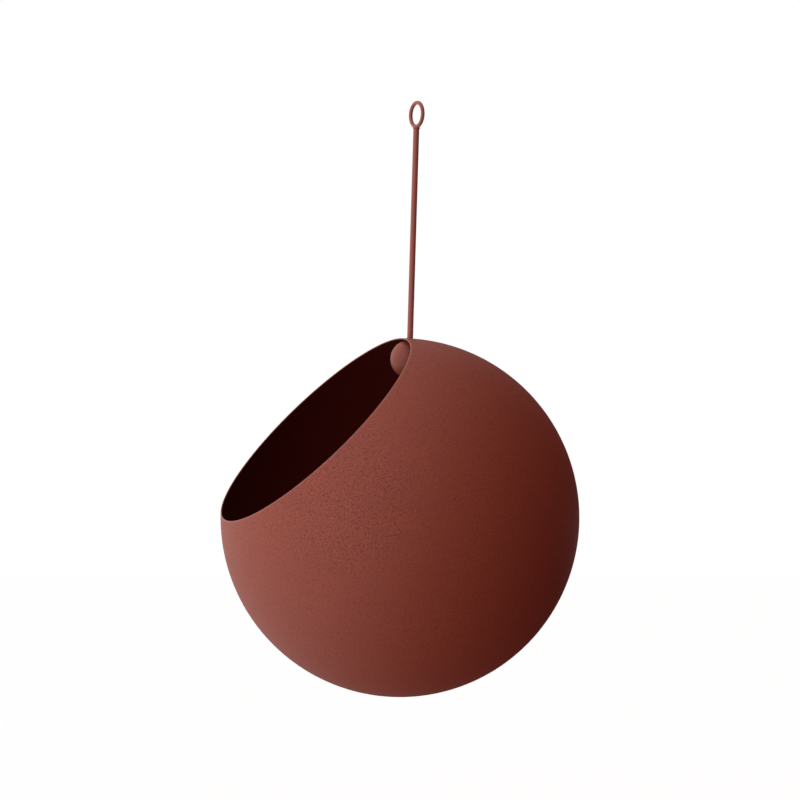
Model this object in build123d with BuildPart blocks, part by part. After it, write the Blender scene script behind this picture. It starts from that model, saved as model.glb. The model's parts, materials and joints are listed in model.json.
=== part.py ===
from build123d import *
from math import acos, asin, atan2, cos, degrees, hypot, radians, sin, sqrt
import os

os.makedirs("parts", exist_ok=True)

# A steel globe planter that hangs on a slim rod. The rod comes down through a hole near the rim
# of the globe's slanted mouth, and a ball on its lower end carries the globe from inside.
# Sizes are in millimetres and angles in degrees. +Z is up and the mouth faces up and towards -Y.
# The origin is the centre of the eye that the planter hangs from.

# The globe
globe_d = 300.0        # outside diameter
sheet_t = 1.2          # thickness of the pressed sheet
mouth_d = 213.0        # diameter of the mouth, over the rim
mouth_lean = 45.3      # the mouth's axis from upright, as the globe hangs at rest
rim_to_hole = 9.7      # from the rim to the middle of the rod's hole, along the outside

# The rod and the hole that it passes through
rod_d = 5.0
rod_reach = 205.0      # from the eye's centre to the ball's centre
rod_lead = 0.6         # chamfer on the rod's lower end
hole_d = 6.3
hole_gap = 0.1         # left between the rod and the edge of the hole that it leans towards

# The ball on the rod's lower end
ball_d = 32.0
ball_gap = 0.3         # left between the ball and the hole's inner edge, which it carries
ball_floor = 8.0       # solid metal left under the blind bore
bore_gap = 0.05        # around the rod, in the bore

# The eye on the rod's upper end
eye_wire_d = 3.2
eye_mean_d = 20.0      # to the middle of the wire
eye_turn = 10.0        # the ring's plane from the X axis, about the rod

# The weld that joins the eye to the rod
weld_width = 0.6       # how far the bead stands out from the rod
weld_crown = 0.8       # radius of the bead's rounded top
weld_climb = 1.1       # how far the bead climbs beside the wire
weld_undercut = 45.0   # how far the bead's side turns back under its crown


def lean(angle):
    """The direction that leans from straight up towards +Y by an angle."""
    return Vector(0, sin(radians(angle)), cos(radians(angle)))


def profile_plane(centre, up):
    """A plane for a profile, with X out from the axis of revolution and Y along it."""
    return Plane(origin=centre, x_dir=(1, 0, 0), z_dir=Vector(1, 0, 0).cross(up))


def level_plane(centre, up):
    """A plane square to a direction, with X kept level."""
    return Plane(origin=centre, x_dir=(1, 0, 0), z_dir=up)


# Radii that the pieces share
globe_r = globe_d / 2
inner_r = globe_r - sheet_t
hole_r = hole_d / 2
rod_r = rod_d / 2
ball_r = ball_d / 2
eye_r = eye_mean_d / 2
wire_r = eye_wire_d / 2

# The mouth's edge and the hole, as angles at the globe's centre
mouth_angle = degrees(asin(mouth_d / globe_d))
hole_lean = mouth_angle + degrees(rim_to_hole / globe_r) - mouth_lean

# The ball seats on the hole's inner edge. The rod leans in the hole until it is hole_gap from
# the outer edge. Both heights are from the ball's centre, along the hole.
hole_bottom = sqrt((ball_r + ball_gap)**2 - hole_r**2)
seat_r = sqrt(inner_r**2 - hole_r**2) - hole_bottom
hole_top = sqrt(globe_r**2 - hole_r**2) - seat_r
edge_reach = hypot(hole_r, hole_top)
rod_rock = degrees(acos((rod_r + hole_gap) / edge_reach) - atan2(hole_top, hole_r))
rod_lean = hole_lean - rod_rock

mouth_dir = lean(-mouth_lean)
hole_dir = lean(hole_lean)
rod_dir = lean(rod_lean)

ball_centre = -rod_reach * rod_dir
globe_centre = ball_centre - seat_r * hole_dir
rod_axis = Axis((0, 0, 0), rod_dir)
mouth_axis = Axis(globe_centre, mouth_dir)


# The eye is a closed ring of round wire. Its plane holds the rod's axis.
ring_out = Vector(1, 0, 0).rotate(rod_axis, eye_turn)
ring_axis = Axis((0, 0, 0), ring_out.cross(rod_dir))

with BuildPart() as hanging_eye:
    with BuildSketch(level_plane(ring_out * eye_r, rod_dir)):
        Circle(wire_r)
    revolve(axis=ring_axis)
hanging_eye.part.label = "hanging_eye"


# The rod runs from the underside of the ring to the bottom of the ball's bore.
rod_top = eye_r + wire_r
rod_bottom = rod_reach + ball_r - ball_floor

with BuildPart() as hanging_rod:
    with BuildSketch(level_plane(-rod_bottom * rod_dir, rod_dir)):
        Circle(rod_r)
    extrude(amount=rod_bottom - rod_top)
    chamfer(hanging_rod.edges().filter_by(GeomType.CIRCLE).sort_by(rod_axis)[0], rod_lead)
hanging_rod.part.label = "hanging_rod"


# The weld is a bead round the rod's top. Its side is a round crown that turns back underneath and
# runs out on the rod in a hollow foot, and the wire lies in its top.
bead_in = cos(radians(weld_undercut))
bead_down = sin(radians(weld_undercut))
crown_r = rod_r + weld_width - weld_crown
crown_y = -(rod_top - weld_climb + weld_crown)
foot_r = (weld_width - weld_crown * (1 - bead_in)) / (1 - bead_in)
foot_y = crown_y - (weld_crown + foot_r) * bead_down

with BuildPart() as eye_weld:
    with BuildSketch(profile_plane((0, 0, 0), rod_dir)):
        with BuildLine():
            top = Line((0, crown_y + weld_crown), (crown_r, crown_y + weld_crown))
            CenterArc((crown_r, crown_y), weld_crown, 90, -90 - weld_undercut)
            foot = CenterArc((rod_r + foot_r, foot_y), foot_r, 180 - weld_undercut, weld_undercut)
            bottom = Line(foot @ 1, (0, foot_y))
            Line(bottom @ 1, top @ 0)
        make_face()
    revolve(axis=rod_axis)
    add(hanging_eye.part, mode=Mode.SUBTRACT)
    add(hanging_rod.part, mode=Mode.SUBTRACT)
eye_weld.part.label = "eye_weld"


# The ball has a blind bore for the rod, whose end rests on the bore's flat bottom.
with BuildPart() as stop_ball:
    with BuildSketch(profile_plane(ball_centre, rod_dir)):
        with BuildLine():
            side = CenterArc((0, 0), ball_r, -90, 180)
            Line(side @ 1, side @ 0)
        make_face()
    revolve(axis=rod_axis)
    with Locations(level_plane(ball_centre + ball_r * rod_dir, rod_dir)):
        Hole(radius=rod_r + bore_gap, depth=ball_d - ball_floor)
stop_ball.part.label = "stop_ball"


# The globe is one skin of sheet with a full round on the mouth's rim, and the rod's hole.
rim_mid_r = globe_r - sheet_t / 2
rim_angle = mouth_angle + degrees(sheet_t / 2 / rim_mid_r)
rim_mid = (rim_mid_r * sin(radians(rim_angle)), rim_mid_r * cos(radians(rim_angle)))
arc_turn = 180 - rim_angle

with BuildPart() as globe_shell:
    with BuildSketch(profile_plane(globe_centre, mouth_dir)):
        with BuildLine():
            outside = CenterArc((0, 0), globe_r, -90, arc_turn)
            CenterArc(rim_mid, sheet_t / 2, 90 - rim_angle, 180)
            inside = CenterArc((0, 0), inner_r, -90, arc_turn)
            Line(inside @ 0, outside @ 0)
        make_face()
    revolve(axis=mouth_axis)
    with Locations(level_plane(globe_centre + globe_r * hole_dir, hole_dir)):
        Hole(radius=hole_r, depth=sheet_t + hole_r)
globe_shell.part.label = "globe_shell"


export_step(globe_shell.part, "parts/globe_shell.step")
export_step(hanging_rod.part, "parts/hanging_rod.step")
export_step(hanging_eye.part, "parts/hanging_eye.step")
export_step(eye_weld.part, "parts/eye_weld.step")
export_step(stop_ball.part, "parts/stop_ball.step")

# What the joints and the hang depend on
edge_height = hole_top * cos(radians(rod_rock)) + hole_r * sin(radians(rod_rock))
lift_room = rod_reach + foot_y - edge_height
weight_y = globe_shell.part.center(CenterOf.MASS).Y
print(f"rod leans {rod_lean:.2f} and rocks {2 * rod_rock:.2f}, hole leans {hole_lean:.2f}")
print(f"ball's centre {tuple(ball_centre)}, globe's centre {tuple(globe_centre)}")
print(f"globe's weight is {weight_y:.2f} mm from under the eye, room to lift {lift_room:.2f} mm")
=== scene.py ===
import json
from math import atan2, cos, pi, radians, sin, sqrt

import bmesh
import bpy
from bpy.props import FloatProperty, FloatVectorProperty, PointerProperty
from mathutils import Matrix, Vector


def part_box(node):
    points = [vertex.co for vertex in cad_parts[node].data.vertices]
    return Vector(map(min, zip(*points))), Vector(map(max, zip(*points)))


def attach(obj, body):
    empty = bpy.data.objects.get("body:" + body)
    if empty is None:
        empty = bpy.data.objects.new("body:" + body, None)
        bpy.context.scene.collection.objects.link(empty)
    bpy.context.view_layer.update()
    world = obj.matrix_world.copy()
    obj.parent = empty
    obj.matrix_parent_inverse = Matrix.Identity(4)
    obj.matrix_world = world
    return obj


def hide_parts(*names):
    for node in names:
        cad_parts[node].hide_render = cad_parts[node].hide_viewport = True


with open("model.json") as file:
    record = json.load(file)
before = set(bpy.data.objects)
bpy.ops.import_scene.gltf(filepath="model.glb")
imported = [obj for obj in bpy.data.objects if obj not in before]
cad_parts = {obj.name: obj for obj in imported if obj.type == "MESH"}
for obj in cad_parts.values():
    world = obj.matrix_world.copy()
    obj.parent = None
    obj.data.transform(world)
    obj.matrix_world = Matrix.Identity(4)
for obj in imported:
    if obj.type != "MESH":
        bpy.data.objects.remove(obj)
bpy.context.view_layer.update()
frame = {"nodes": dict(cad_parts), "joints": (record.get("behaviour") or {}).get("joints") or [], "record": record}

bl_info = {
    "name": "Globe Hanging Planter",
    "version": (1, 0, 0),
    "blender": (4, 5, 0),
    "location": "View3D > Sidebar > Planter",
    "description": "Dresses the packed planter with its finished pieces and coats, and sets up its studio",
    "category": "Mesh",
}

SHARP_ANGLE = radians(30)    # edges that turn by more than this stay sharp
SAME_POINT = 1e-6            # points that lie closer than this are joined
ON_AXIS = 1e-7               # a smaller radius in a profile is a point on its axis


def named(items, name):
    """The one entry of a list in the record that has this name."""
    return next(item for item in items if item["name"] == name)


def width(node):
    """A node's size along X, which is the diameter of a piece that is round about the YZ plane."""
    low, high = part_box(node)
    return high.x - low.x


# What the frame says about the pieces' places
swivel = named(frame["joints"], "globe_swivel")
mouth = named(frame["record"]["mounts"], "pot_mouth")
rod_dir = Vector(swivel["axis"]).normalized()
ball_centre = Vector(swivel["pos_m"])
mouth_dir = Vector(mouth["axis"]).normalized()
mouth_centre = Vector(mouth["pos_m"])


class PlanterSizes(bpy.types.PropertyGroup):
    """The sizes of the planter's pieces."""

    globe: FloatProperty(
        name="Globe", description="Outside diameter of the globe",
        default=width("globe_shell"), unit="LENGTH")
    sheet: FloatProperty(
        name="Sheet", description="Thickness of the pressed sheet",
        default=0.0012, unit="LENGTH")
    mouth: FloatProperty(
        name="Mouth", description="Diameter of the mouth over its rim",
        default=0.213, unit="LENGTH")
    hole: FloatProperty(
        name="Hole", description="Diameter of the hole that the rod passes through",
        default=0.0063, unit="LENGTH")
    hole_break: FloatProperty(
        name="Hole Edge", description="How far the edges of the hole are broken",
        default=0.00015, unit="LENGTH")
    rod: FloatProperty(
        name="Rod", description="Diameter of the hanging rod",
        default=width("hanging_rod"), unit="LENGTH")
    rod_lead: FloatProperty(
        name="Rod Lead", description="Chamfer on the rod's lower end",
        default=0.0006, unit="LENGTH")
    ball: FloatProperty(
        name="Ball", description="Diameter of the ball that carries the globe",
        default=width("stop_ball"), unit="LENGTH")
    ball_floor: FloatProperty(
        name="Ball Floor", description="Solid metal left under the ball's bore",
        default=0.008, unit="LENGTH")
    bore_gap: FloatProperty(
        name="Bore Gap", description="Room left round the rod in the ball's bore",
        default=0.00005, unit="LENGTH")
    rod_seat: FloatProperty(
        name="Rod Seat",
        description="Room left under the rod's end, so that it turns clear of the bore's floor",
        default=0.00002, unit="LENGTH")
    bore_round: FloatProperty(
        name="Bore Edge", description="Radius of the rounded edge of the ball's bore",
        default=0.0003, unit="LENGTH")
    eye: FloatProperty(
        name="Eye", description="Diameter of the eye, to the middle of its wire",
        default=0.020, unit="LENGTH")
    wire: FloatProperty(
        name="Eye Wire", description="Diameter of the eye's wire",
        default=0.0032, unit="LENGTH")
    eye_turn: FloatProperty(
        name="Eye Turn", description="How far the eye is turned about the rod",
        default=radians(10), subtype="ANGLE")


class PlanterCoat(bpy.types.PropertyGroup):
    """The colours of the powder coat and the size of its grain."""

    outside: FloatVectorProperty(
        name="Outside", description="Colour of the globe's textured coat",
        default=(0.316, 0.0540, 0.0270), subtype="COLOR", min=0, max=1)
    # The rim's colour is a painted highlight: lighter than the outside, where the round rim catches the light.
    rim: FloatVectorProperty(
        name="Rim", description="Colour of the coat painted lighter as a highlight on the rim of the mouth",
        default=(0.345, 0.0920, 0.0640), subtype="COLOR", min=0, max=1)
    # The width of the band of the rim's painted highlight.
    rim_highlight_width: FloatProperty(
        name="Rim Highlight Width", description="How far the painted highlight reaches down from the plane of the mouth",
        default=0.0013, unit="LENGTH")
    # The inside's colour is darker than the outside's.
    inside: FloatVectorProperty(
        name="Inside", description="Colour of the darker coat inside the globe",
        default=(0.110, 0.0080, 0.0040), subtype="COLOR", min=0, max=1)
    # The rod's colour is lighter than the globe's coat: painted light, for light that the thin rod, eye and weld
    # get from all sides.
    rod: FloatVectorProperty(
        name="Rod", description="Colour of the coat on the rod and its eye",
        default=(0.400, 0.1040, 0.0760), subtype="COLOR", min=0, max=1)
    ball: FloatVectorProperty(
        name="Ball", description="Colour of the smoother coat on the ball",
        default=(0.290, 0.0560, 0.0360), subtype="COLOR", min=0, max=1)
    grain: FloatProperty(
        name="Grain", description="Size of the grain of the globe's coat",
        default=0.0010, unit="LENGTH")
    pit: FloatProperty(
        name="Pit", description="Size of the small dark pits in the globe's coat",
        default=0.0014, unit="LENGTH")
    pit_depth: FloatProperty(
        name="Pit Depth", description="Depth of the pits in the globe's coat",
        default=0.00004, unit="LENGTH")
    # The grain's specks are painted darker and lighter towards this side: painted shading where the light grazes
    # the real grain.
    grain_shade_side: FloatVectorProperty(
        name="Grain Shade Side", description="Direction of the flank where the grain's painted shading is strongest",
        default=(0.741, -0.654, 0.151), subtype="DIRECTION")


class PlanterStudio(bpy.types.PropertyGroup):
    """The camera, the floor and the light."""

    azimuth: FloatProperty(
        name="Camera Azimuth", description="Where the camera stands: 0 looks along +Y and 90 along -X",
        default=radians(70.1), subtype="ANGLE")
    distance: FloatProperty(
        name="Camera Distance", description="From the camera to the planter",
        default=3.2, unit="LENGTH")
    view_width: FloatProperty(
        name="View Width", description="Width of what the camera sees at the planter",
        default=0.6704, unit="LENGTH")
    view_right: FloatProperty(
        name="View Right", description="Middle of the view to the right of the eye",
        default=-0.0140, unit="LENGTH")
    view_up: FloatProperty(
        name="View Height", description="Middle of the view above the eye",
        default=-0.2392, unit="LENGTH")
    floor: FloatProperty(
        name="Floor", description="Height of the floor from the eye",
        default=-0.66, unit="LENGTH")
    floor_radius: FloatProperty(
        name="Floor Radius", description="Radius of the round floor",
        default=6.0, unit="LENGTH")
    floor_colour: FloatVectorProperty(
        name="Floor Colour", description="Colour of the pale floor",
        default=(0.80, 0.80, 0.80), subtype="COLOR", min=0, max=1)
    floor_lift: FloatProperty(
        name="Floor Lift",
        description="How far the floor is lifted towards white, outside the shadow and in it",
        default=0.5, subtype="FACTOR", min=0, max=1)
    light: FloatVectorProperty(
        name="Light", description="Brightness of the large soft light that fills one side of the studio",
        default=(1.05, 1.05, 1.05), subtype="COLOR", min=0, soft_max=2)
    fill: FloatVectorProperty(
        name="Fill", description="Brightness of the dim side of the studio, away from the light",
        default=(0.12, 0.035, 0.030), subtype="COLOR", min=0, soft_max=2)
    light_edge: FloatProperty(
        name="Light Edge", description="Where the light begins, as a cosine from its middle",
        default=-0.44, min=-1, max=1)
    light_full: FloatProperty(
        name="Light Full", description="Where the light is full, as a cosine from its middle",
        default=0.67, min=-1, max=1)
    light_up: FloatProperty(
        name="Light Height", description="How far up the light's middle is",
        default=radians(17.6), subtype="ANGLE")
    light_round: FloatProperty(
        name="Light Round", description="How far the light's middle is round from the side to the camera",
        default=radians(5.5), subtype="ANGLE")


class Socket:
    """A node's output that takes part in Python sums, each of which adds a Math node."""

    def __init__(self, tree, source):
        self.tree = tree
        self.source = source

    def __add__(self, other):
        return self.tree.math("ADD", self, other)

    def __radd__(self, other):
        return self.tree.math("ADD", other, self)

    def __sub__(self, other):
        return self.tree.math("SUBTRACT", self, other)

    def __rsub__(self, other):
        return self.tree.math("SUBTRACT", other, self)

    def __mul__(self, other):
        return self.tree.math("MULTIPLY", self, other)

    def __rmul__(self, other):
        return self.tree.math("MULTIPLY", other, self)

    def __truediv__(self, other):
        return self.tree.math("DIVIDE", self, other)

    def __rtruediv__(self, other):
        return self.tree.math("DIVIDE", other, self)

    def __gt__(self, other):
        return self.tree.math("GREATER_THAN", self, other)

    def __lt__(self, other):
        return self.tree.math("LESS_THAN", self, other)


class Tree:
    """A node tree of a material, the world or a shape, to which one method adds every node."""

    def __init__(self, tree):
        self.tree = tree

    def node(self, kind, settings=(), inputs=(), output=0):
        """Adds a node, with its settings first and then its inputs' values or links."""
        node = self.tree.nodes.new(kind)
        for name, value in dict(settings).items():
            setattr(node, name, value)
        for name, value in dict(inputs).items():
            for term in value if isinstance(value, list) else [value]:
                if isinstance(term, Socket):
                    self.tree.links.new(term.source, node.inputs[name])
                else:
                    node.inputs[name].default_value = term
        return Socket(self, node.outputs[output]) if node.outputs else node

    def math(self, operation, *terms):
        return self.node("ShaderNodeMath", {"operation": operation}, enumerate(terms))

    def split(self, vector):
        """The X, Y and Z of a vector."""
        parts = self.node("ShaderNodeSeparateXYZ", {}, {"Vector": vector}).source.node.outputs
        return [Socket(self, part) for part in parts]

    def rise(self, value, low, high):
        """Goes smoothly from 0 to 1 as a value goes from low to high."""
        return self.node("ShaderNodeMapRange", {"interpolation_type": "SMOOTHSTEP"},
                         {"Value": value, "From Min": low, "From Max": high})

    def mix(self, share, first, second, blend="MIX"):
        """Mixes two colours."""
        return self.node("ShaderNodeMix", {"data_type": "RGBA", "blend_type": blend},
                         {"Factor": share, 6: first, 7: second}, output=2)

    def dot(self, first, second):
        return self.node("ShaderNodeVectorMath", {"operation": "DOT_PRODUCT"},
                         {0: first, 1: second}, output="Value")


def opaque(colour):
    """A colour property as the four numbers of a colour socket."""
    return (*colour, 1)


class Finish(Tree):
    """A procedural material, patterned by its piece's place in metres."""

    def __init__(self, name):
        self.material = bpy.data.materials.new(name)
        self.material.use_nodes = True
        super().__init__(self.material.node_tree)
        self.tree.nodes.clear()
        self.place = self.node("ShaderNodeTexCoord", output="Object")

    def noise(self, size, detail=2.0, seed=0.0):
        """Soft noise about 0.5, whose features are about this size in metres."""
        return self.node("ShaderNodeTexNoise", {"noise_dimensions": "4D"},
                         {"Vector": self.place, "W": seed, "Scale": 1 / size, "Detail": detail})

    def shaded(self, colour, shade):
        """A colour made darker or lighter by a number that is about 1."""
        grey = self.node("ShaderNodeCombineColor", {}, {"Red": shade, "Green": shade, "Blue": shade})
        return self.mix(1.0, colour, grey, blend="MULTIPLY")

    def coat(self, colour, roughness, height, depth, specular):
        """Ends the material in a coat whose relief is this deep from its lowest to its highest."""
        normal = self.node("ShaderNodeBump", {}, {"Strength": 1.0, "Distance": depth, "Height": height})
        shader = self.node("ShaderNodeBsdfPrincipled", {}, {
            "Base Color": colour, "Roughness": roughness, "Normal": normal, "Specular IOR Level": specular})
        self.node("ShaderNodeOutputMaterial", {}, {"Surface": shader})
        return self.material


def textured_coat(name, coat, colour, rim_highlight_colour, globe_centre, specular):
    """The globe's powder coat: a close grain with dark pits, whose shading is painted stronger on the flank where
    light grazes it, and a painted highlight on the rim.
    """
    cloud_size = 0.05
    finish = Finish(name)
    grain = finish.noise(coat.grain, detail=1.0)
    pits = finish.rise(finish.noise(coat.pit, detail=1.0, seed=3.0), 0.56, 0.68)
    cloud = finish.noise(cloud_size, seed=7.0)

    # The flank is the part of the globe that faces the side where light grazes the coat. The grain's shading is
    # painted stronger there.
    outward = finish.node("ShaderNodeVectorMath", {"operation": "NORMALIZE"}, {
        0: finish.node("ShaderNodeVectorMath", {"operation": "SUBTRACT"}, {
            0: finish.place, 1: tuple(globe_centre)})})
    flank = finish.rise(finish.dot(outward, tuple(coat.grain_shade_side)), 0.87, 0.97)
    # Painted shading: the grain's colour contrast is stronger on the flank where light grazes.
    strength = (0.70 + flank * 0.65) * (0.5 + cloud)
    shade = 1.03 + ((grain - 0.5) * 1.4 - pits * 0.26) * strength + (cloud - 0.5) * 0.06

    # The rim's painted highlight is a lighter colour where the shell comes near the plane of the mouth
    rim_height = mouth_centre.dot(mouth_dir)
    rim = finish.rise(finish.dot(finish.place, tuple(mouth_dir)),
                      rim_height - coat.rim_highlight_width, rim_height - coat.rim_highlight_width / 2)
    base = finish.shaded(finish.mix(rim, opaque(colour), opaque(rim_highlight_colour)), shade)
    roughness = 0.58 + (grain - 0.5) * 0.15 + pits * 0.10
    return finish.coat(base, roughness, grain * 0.6 - pits, coat.pit_depth, specular)


def satin_coat(name, colour, grain_size, grain_height, roughness):
    """The smoother powder coat of the rod, the eye, the weld and the ball."""
    finish = Finish(name)
    grain = finish.noise(grain_size, detail=2.0)
    cloud = finish.noise(grain_size * 9, seed=5.0)
    shade = 1.0 + (grain - 0.5) * 0.10 + (cloud - 0.5) * 0.16
    rough = roughness + (cloud - 0.5) * 0.12 + (grain - 0.5) * 0.06
    return finish.coat(finish.shaded(opaque(colour), shade), rough, grain, grain_height, specular=0.4)


class Shape(Tree):
    """A Geometry Nodes tree with named sizes, whose result becomes a plain mesh."""

    def __init__(self, name, sizes):
        super().__init__(bpy.data.node_groups.new(name, "GeometryNodeTree"))
        self.sizes = sizes
        face = self.tree.interface
        for label, size in sizes.items():
            kind = "NodeSocketInt" if isinstance(size, int) else "NodeSocketFloat"
            face.new_socket(label, in_out="INPUT", socket_type=kind)
        face.new_socket("Geometry", in_out="OUTPUT", socket_type="NodeSocketGeometry")
        source = self.tree.nodes.new("NodeGroupInput")
        self.given = {label: Socket(self, source.outputs[label]) for label in sizes}

    def place(self, geometry, rotation=(0, 0, 0), translation=(0, 0, 0)):
        return self.node("GeometryNodeTransform", {}, {
            "Geometry": geometry, "Rotation": rotation, "Translation": translation})

    def smooth(self, geometry, sharp_angle):
        """Shades faces smooth, apart from edges that turn by more than the angle."""
        turn = self.node("GeometryNodeInputMeshEdgeAngle", output="Unsigned Angle")
        faces = self.node("GeometryNodeSetShadeSmooth", {"domain": "FACE"}, {
            "Geometry": geometry, "Shade Smooth": True})
        return self.node("GeometryNodeSetShadeSmooth", {"domain": "EDGE"}, {
            "Geometry": faces, "Selection": turn > sharp_angle, "Shade Smooth": False})

    def finish(self, name, geometry, coat, lining=None, lined=None):
        """Ends the tree in its materials and returns its result as an object with a plain mesh."""
        real = self.node("GeometryNodeRealizeInstances", {}, {"Geometry": geometry})
        result = self.node("GeometryNodeSetMaterial", {}, {"Geometry": real, "Material": coat})
        if lining:
            result = self.node("GeometryNodeSetMaterial", {}, {
                "Geometry": result, "Selection": lined, "Material": lining})
        self.node("NodeGroupOutput", {}, {"Geometry": result})

        maker = new_object(name, bpy.data.meshes.new(name))
        modifier = maker.modifiers.new(name, "NODES")
        modifier.node_group = self.tree
        for socket in self.tree.interface.items_tree:
            if socket.in_out == "INPUT":
                modifier[socket.identifier] = self.sizes[socket.name]
        made = maker.evaluated_get(bpy.context.evaluated_depsgraph_get())
        mesh = bpy.data.meshes.new_from_object(made)
        maker.modifiers.remove(modifier)
        maker.data = mesh
        if not mesh.polygons:
            raise RuntimeError(f"the shape of {name} came out empty")
        return maker


def new_object(name, data):
    """An object at the origin, in the scene."""
    piece = bpy.data.objects.new(name, data)
    bpy.context.scene.collection.objects.link(piece)
    return piece


def arc(centre, radius, start, end, steps):
    """Points on an arc of a profile, from one angle to another, both in radians from the +X side."""
    angles = [start + (end - start) * step / steps for step in range(steps + 1)]
    return [(centre[0] + radius * cos(angle), centre[1] + radius * sin(angle)) for angle in angles]


def turned(name, profile, origin, axis, segments, sharp_angle):
    """A closed piece turned about an axis, from radii and heights that start and end on it."""
    shape = bmesh.new()
    rings = []
    for radius, height in profile:
        count = segments if radius > ON_AXIS else 1
        turns = [2 * pi * k / count for k in range(count)]
        rings.append([shape.verts.new((radius * cos(t), radius * sin(t), height)) for t in turns])
    for lower, upper in zip(rings, rings[1:]):
        for k in range(segments):
            corners = (lower[k % len(lower)], lower[(k + 1) % len(lower)],
                       upper[(k + 1) % len(upper)], upper[k % len(upper)])
            shape.faces.new(dict.fromkeys(corners))
    bmesh.ops.recalc_face_normals(shape, faces=shape.faces)
    for face in shape.faces:
        face.smooth = True
    for edge in shape.edges:
        edge.smooth = edge.calc_face_angle() < sharp_angle
    across = Vector((1, 0, 0))
    turn = Matrix((across, axis.cross(across), axis)).transposed().to_4x4()
    shape.transform(Matrix.Translation(origin) @ turn)
    mesh = bpy.data.meshes.new(name)
    shape.to_mesh(mesh)
    shape.free()
    return new_object(name, mesh)


def keep_largest_part(mesh):
    """Deletes all but a mesh's largest joined part, because a remesh can leave specks beside it."""
    shape = bmesh.new()
    shape.from_mesh(mesh)
    parts = []
    left = set(shape.verts)
    while left:
        part = [left.pop()]
        for vert in part:        # the part grows while it is walked
            near = {edge.other_vert(vert) for edge in vert.link_edges} & left
            left -= near
            part.extend(near)
        parts.append(part)
    parts.sort(key=len)
    specks = [vert for part in parts[:-1] for vert in part]
    bmesh.ops.delete(shape, geom=specks, context="VERTS")
    shape.to_mesh(mesh)
    shape.free()


def dress(piece, body, node):
    """Puts a finished piece on its body, in the place of its CAD node."""
    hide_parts(node)
    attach(piece, body)
    return {"FINISHED"}


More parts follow.
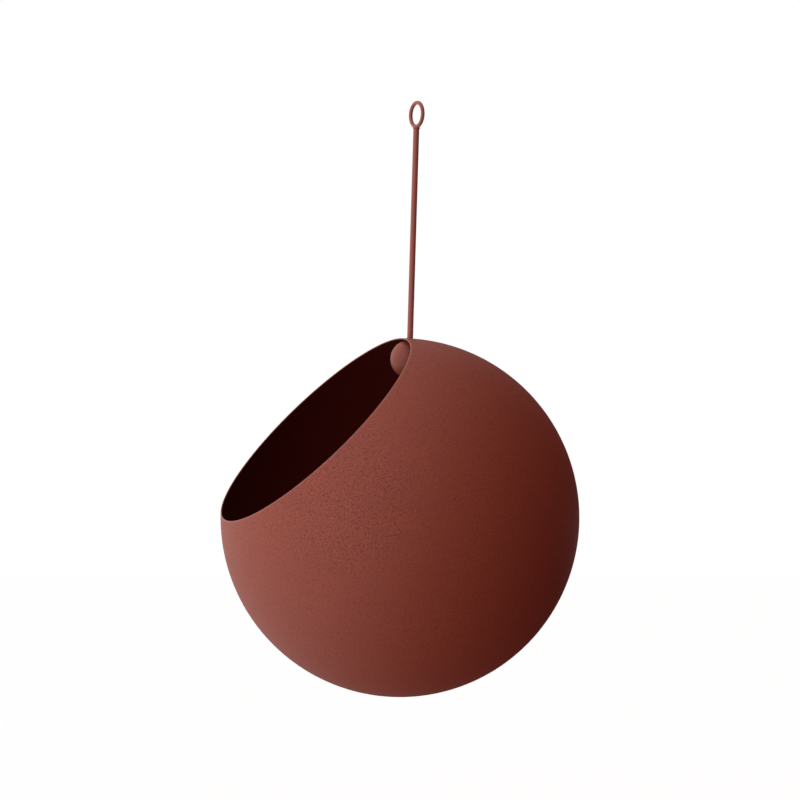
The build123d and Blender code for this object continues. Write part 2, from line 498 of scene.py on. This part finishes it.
class PLANTER_OT_globe(bpy.types.Operator):
    """Make the globe's shell of sheet, with its rolled rim and the rod's hole"""

    bl_idname = "planter.globe"
    bl_label = "Globe Shell"

    AROUND = 288         # faces around the globe
    ALONG = 104          # faces along its outside, and along its inside
    ROLL = 14            # faces over the rim
    HOLE_SIDES = 64
    INNER_RINGS = 0.3    # the hole's cutter, 1 high, has its two inner rings within this of its middle
    LOOKS_IN = -0.4      # a face looks in where its cosine from straight out is below this

    def execute(self, context):
        sizes = context.scene.planter_sizes
        coat = context.scene.planter_coat
        shape = Shape("globe_shell_shape", {
            "Globe": sizes.globe, "Sheet": sizes.sheet, "Mouth": sizes.mouth,
            "Hole": sizes.hole, "Hole Edge": sizes.hole_break,
            "Around": self.AROUND, "Along": self.ALONG, "Rim": self.ROLL})
        given = shape.given
        half_sheet = given["Sheet"] * 0.5
        middle = given["Globe"] * 0.5 - half_sheet

        # The grid's rows run up the outside to the rim, round it and down the inside
        along, rim = given["Along"], given["Rim"]
        grid = shape.node("GeometryNodeMeshGrid", {}, {
            "Size X": 1.0, "Size Y": 1.0,
            "Vertices X": given["Around"] + 1, "Vertices Y": along * 2 + rim + 1})
        position = shape.node("GeometryNodeInputPosition")
        column, line, _ = shape.split(position)
        turn = (column + 0.5) * (2 * pi)
        row = (line + 0.5) * (along * 2 + rim)
        up = shape.math("MINIMUM", row / along, 1.0)
        over = shape.math("MINIMUM", shape.math("MAXIMUM", (row - along) / rim, 0.0), 1.0) * pi
        down = shape.math("MAXIMUM", (row - along - rim) / along, 0.0)

        rim_angle = shape.math("ARCSINE", given["Mouth"] / given["Globe"]) + half_sheet / middle
        lean = pi - (pi - rim_angle) * (up - down)
        out = middle + half_sheet * shape.math("COSINE", over)
        roll = half_sheet * shape.math("SINE", over)
        sine = shape.math("SINE", lean)
        cosine = shape.math("COSINE", lean)
        reach = out * sine - roll * cosine
        height = out * cosine + roll * sine
        point = shape.node("ShaderNodeCombineXYZ", {}, {
            "X": reach * shape.math("COSINE", turn), "Y": reach * shape.math("SINE", turn), "Z": height})
        skin = shape.node("GeometryNodeSetPosition", {}, {"Geometry": grid, "Position": point})
        skin = shape.node("GeometryNodeMergeByDistance", {}, {"Geometry": skin, "Distance": SAME_POINT})
        mouth_lean = atan2(-mouth_dir.y, mouth_dir.z)
        skin = shape.place(skin, rotation=(mouth_lean, 0, 0))

        # The hole points at the ball's centre. Its cutter is a cylinder of four rings. The outer two lie
        # clear of the sheet and are wider, to break the hole's edges. The cutter is turned by half a
        # side, so that its seams miss the globe's
        x, y, z = shape.split(position)
        at_end = shape.math("ABSOLUTE", z) > self.INNER_RINGS
        edge = given["Hole Edge"]
        cutter_r = given["Hole"] * 0.5 + edge * at_end * 2
        cutter_z = middle + shape.math("SIGN", z) * (half_sheet + edge * (at_end * 2 - 1))
        cutter = shape.node("GeometryNodeMeshCylinder", {}, {
            "Vertices": self.HOLE_SIDES, "Side Segments": 3, "Radius": 1.0, "Depth": 1.0})
        cutter = shape.node("GeometryNodeSetPosition", {}, {
            "Geometry": cutter, "Position": shape.node("ShaderNodeCombineXYZ", {}, {
                "X": x * cutter_r, "Y": y * cutter_r, "Z": cutter_z})})
        cutter = shape.place(cutter, rotation=(0, 0, pi / self.HOLE_SIDES))
        globe_centre = mouth_centre - mouth_dir * sqrt(sizes.globe**2 - sizes.mouth**2) / 2
        hole_dir = (ball_centre - globe_centre).normalized()
        cutter = shape.place(cutter, rotation=(-atan2(hole_dir.y, hole_dir.z), 0, 0))
        skin = shape.node("GeometryNodeMeshBoolean", {"operation": "DIFFERENCE", "solver": "MANIFOLD"}, {
            "Mesh 1": skin, "Mesh 2": cutter})
        skin = shape.smooth(skin, SHARP_ANGLE)

        # The lining is where faces look in, towards the globe's centre
        outwards = shape.node("ShaderNodeVectorMath", {"operation": "NORMALIZE"}, {0: position})
        facing = shape.dot(outwards, shape.node("GeometryNodeInputNormal"))
        skin = shape.node("GeometryNodeStoreNamedAttribute", {"domain": "FACE", "data_type": "BOOLEAN"}, {
            "Geometry": skin, "Name": "lining", "Value": facing < self.LOOKS_IN})
        skin = shape.place(skin, translation=globe_centre)
        lined = shape.node("GeometryNodeInputNamedAttribute", {"data_type": "BOOLEAN"}, {"Name": "lining"})

        # The outside coat carries the rim's painted highlight; the inside has none.
        outside = textured_coat(
            "globe_coat_outside", coat, coat.outside, coat.rim, globe_centre, specular=0.5)
        inside = textured_coat(
            "globe_coat_inside", coat, coat.inside, coat.inside, globe_centre, specular=0.3)
        piece = shape.finish("planter_globe", skin, outside, inside, lined)
        return dress(piece, "globe", "globe_shell")


class PLANTER_OT_ball(bpy.types.Operator):
    """Make the ball on the rod's lower end, with its blind bore"""

    bl_idname = "planter.ball"
    bl_label = "Stop Ball"

    def execute(self, context):
        sizes = context.scene.planter_sizes
        coat = context.scene.planter_coat
        radius = sizes.ball / 2
        bore = sizes.rod / 2 + sizes.bore_gap
        edge = sizes.bore_round
        # The rounded edge touches both the ball and the bore
        edge_x = bore + edge
        edge_y = sqrt((radius - edge)**2 - edge_x**2)
        edge_lean = atan2(edge_y, edge_x)
        floor = sizes.ball_floor - radius
        profile = [
            *arc((0, 0), radius, -pi / 2, edge_lean, 72),
            *arc((edge_x, edge_y), edge, edge_lean, pi, 8)[1:],
            (bore, floor), (0, floor)]
        piece = turned("planter_ball", profile, ball_centre, rod_dir, 128, SHARP_ANGLE)
        piece.data.materials.append(satin_coat(
            "ball_coat", coat.ball, grain_size=0.0012, grain_height=0.00001, roughness=0.5))
        return dress(piece, "ball", "stop_ball")


class PLANTER_OT_rod(bpy.types.Operator):
    """Make the slim hanging rod, from the underside of the eye to the floor of the ball's bore"""

    bl_idname = "planter.rod"
    bl_label = "Hanging Rod"

    def execute(self, context):
        sizes = context.scene.planter_sizes
        coat = context.scene.planter_coat
        radius = sizes.rod / 2
        lead = sizes.rod_lead
        top = -(sizes.eye + sizes.wire) / 2
        bottom = -ball_centre.length - sizes.ball / 2 + sizes.ball_floor + sizes.rod_seat
        stations = 40        # rings of points up the rod
        sides = [(radius, bottom + lead + (top - bottom - lead) * k / stations)
                 for k in range(stations + 1)]
        profile = [(0, bottom), (radius - lead, bottom), *sides, (0, top)]
        piece = turned("planter_rod", profile, Vector(), rod_dir, 48, SHARP_ANGLE)
        # The rod's coat colour is painted lighter, standing in for light.
        piece.data.materials.append(satin_coat(
            "rod_coat", coat.rod, grain_size=0.0011, grain_height=0.000012, roughness=0.40))
        return dress(piece, "hanger", "hanging_rod")


class PLANTER_OT_eye(bpy.types.Operator):
    """Make the eye, a closed ring of round wire whose plane holds the rod"""

    bl_idname = "planter.eye"
    bl_label = "Hanging Eye"

    def execute(self, context):
        sizes = context.scene.planter_sizes
        coat = context.scene.planter_coat
        shape = Shape("hanging_eye_shape", {
            "Eye": sizes.eye, "Wire": sizes.wire, "Around": 160, "Wire Sides": 32})
        given = shape.given
        line = shape.node("GeometryNodeCurvePrimitiveCircle", {}, {
            "Resolution": given["Around"], "Radius": given["Eye"] * 0.5})
        wire = shape.node("GeometryNodeCurvePrimitiveCircle", {}, {
            "Resolution": given["Wire Sides"], "Radius": given["Wire"] * 0.5})
        ring = shape.node("GeometryNodeCurveToMesh", {}, {"Curve": line, "Profile Curve": wire})
        across = Matrix.Rotation(sizes.eye_turn, 3, rod_dir) @ Vector((1, 0, 0))
        turn = Matrix((across, rod_dir, across.cross(rod_dir))).transposed().to_euler()
        ring = shape.smooth(shape.place(ring, rotation=tuple(turn)), SHARP_ANGLE)
        # The eye's coat colour is painted lighter, standing in for light.
        finish = satin_coat(
            "eye_coat", coat.rod, grain_size=0.0011, grain_height=0.000012, roughness=0.40)
        return dress(shape.finish("planter_eye", ring, finish), "hanger", "hanging_eye")


class PLANTER_OT_weld(bpy.types.Operator):
    """Make the weld bead that joins the eye to the rod, softened by its coat"""

    bl_idname = "planter.weld"
    bl_label = "Eye Weld"

    VOXEL = 0.00012      # size of the even mesh that is softened
    SOFTENINGS = 6

    def execute(self, context):
        coat = context.scene.planter_coat
        shape = bmesh.new()
        shape.from_mesh(frame["nodes"]["eye_weld"].data)
        bmesh.ops.remove_doubles(shape, verts=shape.verts, dist=SAME_POINT)
        mesh = bpy.data.meshes.new("planter_weld")
        shape.to_mesh(mesh)
        shape.free()
        piece = new_object("planter_weld", mesh)
        remesh = piece.modifiers.new("even", "REMESH")
        remesh.mode = "VOXEL"
        remesh.voxel_size = self.VOXEL
        remesh.use_smooth_shade = True
        soften = piece.modifiers.new("soften", "SMOOTH")
        soften.iterations = self.SOFTENINGS
        made = piece.evaluated_get(bpy.context.evaluated_depsgraph_get())
        mesh = bpy.data.meshes.new_from_object(made)
        piece.modifiers.clear()
        keep_largest_part(mesh)
        piece.data = mesh
        mesh.materials.clear()
        # The weld's coat colour is painted lighter, standing in for light.
        mesh.materials.append(satin_coat(
            "weld_coat", coat.rod, grain_size=0.0009, grain_height=0.00002, roughness=0.45))
        return dress(piece, "hanger", "eye_weld")


class PLANTER_OT_studio(bpy.types.Operator):
    """Set up the camera, the pale floor and the large soft light"""

    bl_idname = "planter.studio"
    bl_label = "Studio"

    # Gloss shows the white background where it stands behind the planter: from the first value, and
    # fully from the second. They are cosines from the view's direction, and metres along the floor
    BEHIND_WORLD = (0.985, 0.998)
    BEHIND_FLOOR = (2.0, 3.5)

    def execute(self, context):
        studio = context.scene.planter_studio
        scene = context.scene
        right = Vector((cos(studio.azimuth), sin(studio.azimuth), 0))
        back = Vector((sin(studio.azimuth), -cos(studio.azimuth), 0))
        up = Vector((0, 0, 1))
        level = -right * cos(studio.light_round) + back * sin(studio.light_round)
        light_dir = level * cos(studio.light_up) + up * sin(studio.light_up)

        camera = bpy.data.cameras.new("camera")
        camera.sensor_width = 36.0
        camera.lens = camera.sensor_width * studio.distance / studio.view_width
        camera.clip_end = 100.0
        viewer = new_object("camera", camera)
        viewer.location = right * studio.view_right + up * studio.view_up + back * studio.distance
        viewer.rotation_euler = back.to_track_quat("Z", "Y").to_euler()
        scene.camera = viewer
        scene.view_settings.view_transform = "Standard"

        self.add_light(scene, studio, light_dir, -back)
        self.add_floor(studio, -back)
        return {"FINISHED"}

    def seen_white(self, tree, behind):
        """1 for what shows the white background: the camera and glass, and gloss where it stands."""
        camera = tree.node("ShaderNodeLightPath", output="Is Camera Ray")
        glass = tree.node("ShaderNodeLightPath", output="Is Transmission Ray")
        gloss = tree.node("ShaderNodeLightPath", output="Is Glossy Ray")
        return tree.math("MAXIMUM", tree.math("MAXIMUM", camera, glass), gloss * behind)

    def add_light(self, scene, studio, light_dir, view_dir):
        """A world that is bright on the light's side and fades evenly to the other."""
        world = bpy.data.worlds.new("studio")
        world.use_nodes = True
        scene.world = world
        tree = Tree(world.node_tree)
        tree.tree.nodes.clear()
        direction = tree.node("ShaderNodeTexCoord", output="Generated")
        lit = tree.rise(tree.dot(direction, light_dir), studio.light_edge, studio.light_full)
        glow = tree.mix(lit, opaque(studio.fill), opaque(studio.light))
        white = self.seen_white(tree, tree.rise(tree.dot(direction, view_dir), *self.BEHIND_WORLD))
        shader = tree.node("ShaderNodeBackground", {}, {"Color": tree.mix(white, glow, (1, 1, 1, 1))})
        tree.node("ShaderNodeOutputWorld", {}, {"Surface": shader})

    def add_floor(self, studio, view_dir):
        """A wide round floor, white to a camera above it but for the planter's shadow."""
        mesh = bmesh.new()
        bmesh.ops.create_circle(mesh, cap_ends=True, segments=96, radius=studio.floor_radius)
        bmesh.ops.translate(mesh, verts=mesh.verts, vec=(0, 0, studio.floor))
        data = bpy.data.meshes.new("floor")
        mesh.to_mesh(data)
        mesh.free()
        floor = new_object("floor", data)
        finish = Finish("floor_paint")
        behind = finish.rise(finish.dot(finish.place, view_dir), *self.BEHIND_FLOOR)
        underside = finish.node("ShaderNodeNewGeometry", output="Backfacing")
        white = self.seen_white(finish, behind) * (1 - underside)
        matt = finish.node("ShaderNodeBsdfDiffuse", {}, {"Color": opaque(studio.floor_colour)})
        lift = finish.node("ShaderNodeEmission", {}, {"Strength": studio.floor_lift})
        paint = finish.node("ShaderNodeAddShader", {}, {0: matt, 1: lift})
        clear = finish.node("ShaderNodeBsdfTransparent")
        shader = finish.node("ShaderNodeMixShader", {}, {0: white, 1: clear, 2: paint})
        finish.node("ShaderNodeOutputMaterial", {}, {"Surface": shader})
        data.materials.append(finish.material)


MAKERS = (PLANTER_OT_studio, PLANTER_OT_globe, PLANTER_OT_ball, PLANTER_OT_rod, PLANTER_OT_eye,
          PLANTER_OT_weld)
GROUPS = {"planter_sizes": PlanterSizes, "planter_coat": PlanterCoat, "planter_studio": PlanterStudio}


class PLANTER_PT_panel(bpy.types.Panel):
    """The planter's operators and what they read"""

    bl_idname = "PLANTER_PT_panel"
    bl_label = "Globe Hanging Planter"
    bl_space_type = "VIEW_3D"
    bl_region_type = "UI"
    bl_category = "Planter"

    def draw(self, context):
        for maker in MAKERS:
            self.layout.operator(maker.bl_idname)
        for group in GROUPS:
            settings = getattr(context.scene, group)
            box = self.layout.box()
            for name in settings.__annotations__:
                box.prop(settings, name)


CLASSES = (*GROUPS.values(), *MAKERS, PLANTER_PT_panel)


def register():
    for each in CLASSES:
        bpy.utils.register_class(each)
    for name, group in GROUPS.items():
        setattr(bpy.types.Scene, name, PointerProperty(type=group))


def unregister():
    for name in GROUPS:
        delattr(bpy.types.Scene, name)
    for each in reversed(CLASSES):
        bpy.utils.unregister_class(each)


def main():
    register()
    bpy.ops.planter.studio()
    bpy.ops.planter.globe()
    bpy.ops.planter.ball()
    bpy.ops.planter.rod()
    bpy.ops.planter.eye()
    bpy.ops.planter.weld()


if __name__ == "__main__":
    main()
